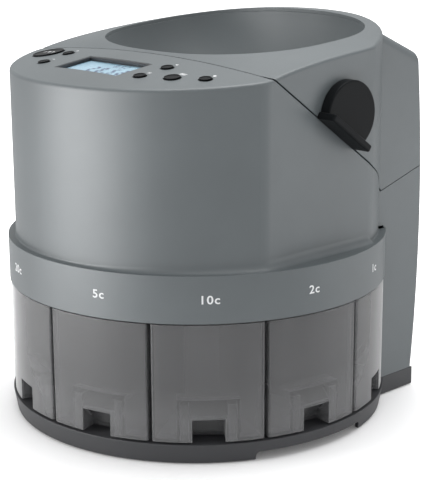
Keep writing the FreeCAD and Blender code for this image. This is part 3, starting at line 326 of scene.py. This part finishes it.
MATERIALS = {
    "housing_plastic": moulded_plastic("housing_grey", (0.103, 0.119, 0.126), 0.47, specular=0.65),
    "base_plastic": moulded_plastic("base_dark", (0.038, 0.039, 0.043), 0.50, specular=0.5),
    "bin_plastic": smoky_plastic("bin_smoke", (0.26, 0.262, 0.268), (0.89, 0.89, 0.90), 0.25),
    "knob_plastic": moulded_plastic("knob_charcoal", (0.009, 0.010, 0.011), 0.36, specular=0.05),
    "socket_plastic": moulded_plastic("socket_black", (0.012, 0.012, 0.013), 0.45),
    "rotor_plastic": moulded_plastic("rotor_cream", (0.50, 0.49, 0.44), 0.40),
    "rubber": moulded_plastic("rubber_black", (0.012, 0.012, 0.012), 0.75, 0.0002),
    "steel": brushed_metal("steel", (0.58, 0.58, 0.59)),
    "circuit_board": circuit_board("circuit_green"),
    "display_glass": clear_pane("display_pane"),
    "lcd_panel": backlit_lcd("lcd_blue"),
}
WHITE_INK = printed_ink("white_ink", (0.80, 0.81, 0.82))
LCD_INK = printed_ink("lcd_ink", (0.008, 0.035, 0.14))


def dress_frame():
    """Put each node's material on its slots."""
    slots = {entry["node"]: entry["material_slot"] for entry in frame["record"]["subparts"]}
    for name, thing in frame["nodes"].items():
        material = MATERIALS[slots[name]]
        for slot in thing.material_slots:
            slot.material = material


# ---------------------------------------------------------------- printed marks and display digits

def tree_of(node_name):
    return BVHTree.FromObject(frame["nodes"][node_name], bpy.context.evaluated_depsgraph_get())


def surface_of(node_name):
    """Function that drops a point on the node's top surface."""
    tree = tree_of(node_name)

    def drop(x, y):
        """Point and upward normal of the node's top surface under x, y."""
        spot, normal, _, _ = tree.ray_cast(Vector((x, y, 1.0)), Vector((0, 0, -1)))
        return spot, normal

    return drop


def refine(mesh_data, longest):
    """Split long edges so that a flat drawing can follow a curved surface."""
    cage = bmesh.new()
    cage.from_mesh(mesh_data)
    bmesh.ops.triangulate(cage, faces=cage.faces)
    for _ in range(3):
        long_edges = [edge for edge in cage.edges if edge.calc_length() > longest]
        if not long_edges:
            break
        bmesh.ops.subdivide_edges(cage, edges=long_edges, cuts=1)
        bmesh.ops.triangulate(cage, faces=cage.faces)
    cage.to_mesh(mesh_data)
    cage.free()


def new_piece(name, mesh_data, body, material):
    """A printed piece that moves with a body of the frame."""
    piece = bpy.data.objects.new(name, mesh_data)
    bpy.context.scene.collection.objects.link(piece)
    mesh_data.materials.clear()
    mesh_data.materials.append(material)
    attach(piece, body)
    return piece


def text_mesh(text):
    """Closed letters of a label in the XY plane, centred on the origin, thickness along +Z."""
    curve = bpy.data.curves.new("text", "FONT")
    curve.body = text
    curve.align_x = "CENTER"
    curve.align_y = "CENTER"
    curve.size = LABEL_HEIGHT / FIGURE_SHARE
    curve.space_character = LABEL_SPREAD
    curve.offset = LABEL_BOLD
    curve.extrude = INK_THICKNESS / 2
    curve.resolution_u = 4
    holder = bpy.data.objects.new("text", curve)
    bpy.context.scene.collection.objects.link(holder)
    bpy.context.view_layer.update()
    evaluated = holder.evaluated_get(bpy.context.evaluated_depsgraph_get())
    mesh_data = bpy.data.meshes.new_from_object(evaluated)
    mesh_data.transform(Matrix.Diagonal((LABEL_SPREAD, 1, 1, 1)))
    bpy.data.objects.remove(holder)
    return mesh_data


def wrap_on_band(mesh_data, tree, bearing):
    """Bend a flat drawing round the denomination ring at a bearing from the front."""
    refine(mesh_data, 1.2 * MM)
    radius = cad_high.x
    lowest = min(vertex.co.z for vertex in mesh_data.vertices)
    for vertex in mesh_data.vertices:
        angle = bearing + vertex.co.x / radius
        outward = Vector((math.sin(angle), -math.cos(angle), 0))
        start = outward * 2 * radius + Vector((0, 0, LABEL_LEVEL + vertex.co.y))
        spot = tree.ray_cast(start, -outward)[0]
        vertex.co = spot + outward * (0.03 * MM + vertex.co.z - lowest)


def make_band_labels():
    """A denomination on the ring above each bin."""
    tree = tree_of("front_housing")
    for text, bearing in LABELS.items():
        mesh_data = text_mesh(text)
        wrap_on_band(mesh_data, tree, math.radians(bearing))
        new_piece("label_" + text, mesh_data, "base", WHITE_INK)


def lay_on(mesh_data, drop, x, y, turn=0.0, lift=0.02 * MM):
    """Lay a flat drawing on a surface seen from above."""
    refine(mesh_data, 1.5 * MM)
    lowest = min(vertex.co.z for vertex in mesh_data.vertices)
    cosine, sine = math.cos(turn), math.sin(turn)
    for vertex in mesh_data.vertices:
        across = vertex.co.x * cosine - vertex.co.y * sine
        along = vertex.co.x * sine + vertex.co.y * cosine
        spot, normal = drop(x + across, y + along)
        vertex.co = spot + normal * (lift + vertex.co.z - lowest)


def polygon_mesh(outlines, thickness):
    """Closed prisms from flat outlines."""
    cage = bmesh.new()
    for outline in outlines:
        low = [cage.verts.new((x, y, 0)) for x, y in outline]
        high = [cage.verts.new((x, y, thickness)) for x, y in outline]
        cage.faces.new(list(reversed(low)))
        cage.faces.new(high)
        count = len(outline)
        for i in range(count):
            j = (i + 1) % count
            cage.faces.new((low[i], low[j], high[j], high[i]))
    mesh_data = bpy.data.meshes.new("outline")
    cage.to_mesh(mesh_data)
    cage.free()
    return mesh_data


def ring_points(radius, count=20):
    """Outline of a round dot."""
    angles = [2 * math.pi * i / count for i in range(count)]
    return [(radius * math.cos(angle), radius * math.sin(angle)) for angle in angles]


def bar_points(x, y, width, height):
    """Outline of an upright rectangle round a centre."""
    return [(x - width / 2, y - height / 2), (x + width / 2, y - height / 2),
            (x + width / 2, y + height / 2), (x - width / 2, y + height / 2)]


def arrow_points(x, y, reach, direction):
    """Outline of a triangle pointing along +X or, with a direction of -1, along -X."""
    return [(x - direction * reach / 2, y - reach / 2), (x + direction * reach / 2, y),
            (x - direction * reach / 2, y + reach / 2)][::direction]


# lit segments of the digits shown; a is the top bar, g the middle one, d the bottom one
SEGMENTS = {"2": "abged", "5": "afgcd", "8": "abcdefg"}


def segment_outlines(text, height, x, y):
    """Slanted seven-segment digits, with a point where the text has one."""
    width = height * 0.50
    stroke = height * 0.18
    slant = 0.12
    half_w, half_h = width / 2, height / 4
    level = {"a": height / 2, "g": 0.0, "d": -height / 2}
    upright = {"f": (-half_w, half_h), "b": (half_w, half_h),
               "e": (-half_w, -half_h), "c": (half_w, -half_h)}
    outlines = []
    for sign in text:
        if sign == ".":
            foot = y - height / 2 + stroke / 2
            outlines.append(bar_points(x + stroke * 0.1, foot, stroke, stroke))
            x += stroke * 1.5
            continue
        middle = x + half_w
        for key in SEGMENTS[sign]:
            if key in level:
                rise = level[key] * (1 - stroke / height)
                outlines.append(bar_points(middle, y + rise, width - stroke * 1.3, stroke))
            else:
                dx, dy = upright[key]
                inner = middle + dx * (1 - stroke / width)
                rise = dy * (1 - stroke / height / 2)
                outlines.append(bar_points(inner, y + rise, stroke, 2 * half_h - stroke * 1.5))
        x += width + stroke * 1.6
    return [[(px + (py - y) * slant, py) for px, py in outline] for outline in outlines]


def make_display_digits():
    """A large number and a small one above it, on the display under its window."""
    low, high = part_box("lcd_module")
    middle = (low + high) / 2
    rows = segment_outlines("28.52", 12.5 * MM, -14 * MM, -0.5 * MM)
    rows += segment_outlines("8.52", 6.5 * MM, 0.0, 11.5 * MM)
    mesh_data = polygon_mesh(rows, 0.02 * MM)
    lay_on(mesh_data, surface_of("lcd_module"), middle.x, middle.y, lift=0.015 * MM)
    new_piece("display_digits", mesh_data, "base", LCD_INK)


def button_place(name):
    """Centre and radius of a button seen from above."""
    low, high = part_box(name)
    middle = (low + high) / 2
    return middle.x, middle.y, (high.x - low.x) / 2


def make_panel_marks():
    """Small generic signs: beside each button on the panel, and on the start button itself."""
    panel = surface_of("front_housing")
    sign_size = 2.6 * MM
    bar_width = 0.8 * MM
    thickness = 0.03 * MM
    signs = {
        "left_rear_button": [arrow_points(0, 0, sign_size, 1)],
        "left_front_button": [bar_points(0, 0, 3.0 * MM, bar_width)],
        "right_front_button": [bar_points(side * bar_width, 0, bar_width, sign_size)
                               for side in (-1, 1)],
        "right_rear_button": [arrow_points(0, 0, sign_size, -1)],
        "menu_button": [bar_points(0, row * 1.3 * MM, 6.0 * MM, 0.6 * MM) for row in (-1, 0, 1)],
        "right_end_button": [ring_points(sign_size / 2)],
    }
    for name, outlines in signs.items():
        x, y, radius = button_place(name)
        mesh_data = polygon_mesh(outlines, thickness)
        lay_on(mesh_data, panel, x, y + radius + sign_size)
        new_piece("sign_" + name, mesh_data, "base", WHITE_INK)
    x, y, _ = button_place("start_stop_button")
    aside = 5.5 * MM
    outlines = [bar_points(-aside, 0, 0.7 * MM, 3.4 * MM), ring_points(1.5 * MM),
                arrow_points(aside, 0, 3.2 * MM, 1)]
    mesh_data = polygon_mesh(outlines, thickness)
    lay_on(mesh_data, surface_of("start_stop_button"), x, y)
    new_piece("sign_start_stop", mesh_data, "start_stop_button", WHITE_INK)


# ---------------------------------------------------------------- stage, light and camera

def make_floor():
    """Pale floor that runs out to plain white round the machine, through a painted glow seen by the
    camera only that stays weak near the machine as painted shade.
    """
    bpy.ops.mesh.primitive_plane_add(size=30.0, location=(0, 0, cad_low.z))
    floor = bpy.context.object
    floor.name = "floor"
    graph = Graph("pale_floor")
    mottle = graph.noise(3.0)
    color = graph.mix_color(mottle, rgba(0.88, 0.88, 0.89), rgba(0.92, 0.92, 0.92))
    reach = graph.add("ShaderNodeVectorMath", operation="LENGTH")
    graph.feed(reach, 0, graph.coordinates())
    # painted glow: weak near the machine as painted shade round its foot, strong further off
    glow = graph.remap(reach.outputs["Value"], *FLOOR_GLOW, *GLOW_REACH)
    seen = graph.add("ShaderNodeLightPath").outputs["Is Camera Ray"]
    shader = graph.principled(Base_Color=color, Roughness=0.7, Specular_IOR_Level=0.2,
                              Emission_Color=rgba(1, 1, 1), Emission_Strength=graph.scaled(glow, seen))
    floor.data.materials.append(graph.finish(shader))


def area_light(name, spot, size, power, sheen):
    """A soft box aimed at the machine; a sheen box shows only as a reflection."""
    data = bpy.data.lights.new(name, "AREA")
    data.shape = "RECTANGLE"
    data.size, data.size_y = size
    data.energy = power
    lamp = bpy.data.objects.new(name, data)
    lamp.location = spot
    aim = LIGHTS_AIM - Vector(spot)
    lamp.rotation_euler = aim.to_track_quat("-Z", "Y").to_euler()
    lamp.visible_diffuse = not sheen
    lamp.visible_camera = False
    bpy.context.scene.collection.objects.link(lamp)


def make_lights():
    """The soft boxes, and surroundings that look pure white but light the machine less."""
    for light in LIGHTS:
        area_light(*light)
    world = bpy.data.worlds.new("studio")
    world.use_nodes = True
    tree = world.node_tree
    background = tree.nodes["Background"]
    background.inputs["Color"].default_value = (1, 1, 1, 1)
    seen = tree.nodes.new("ShaderNodeLightPath").outputs["Is Camera Ray"]
    strength = tree.nodes.new("ShaderNodeMapRange")
    strength.inputs["To Min"].default_value = WORLD_STRENGTH
    tree.links.new(seen, strength.inputs["Value"])
    tree.links.new(strength.outputs["Result"], background.inputs["Strength"])
    bpy.context.scene.world = world
    bpy.context.scene.view_settings.view_transform = "Standard"


def make_camera():
    """Slightly above the machine, off its front right-hand side, with a long lens."""
    data = bpy.data.cameras.new("camera")
    data.lens = CAMERA_LENS
    data.sensor_width = 36.0
    data.clip_end = 100.0
    camera = bpy.data.objects.new("camera", data)
    turn = CAMERA_AIM.to_track_quat("-Z", "Y").to_matrix().to_4x4()
    roll = Matrix.Rotation(CAMERA_ROLL, 4, "Z")
    camera.matrix_world = Matrix.Translation(CAMERA_EYE) @ turn @ roll
    bpy.context.scene.collection.objects.link(camera)
    bpy.context.scene.camera = camera


dress_frame()
make_band_labels()
make_display_digits()
make_panel_marks()
make_floor()
make_lights()
make_camera()
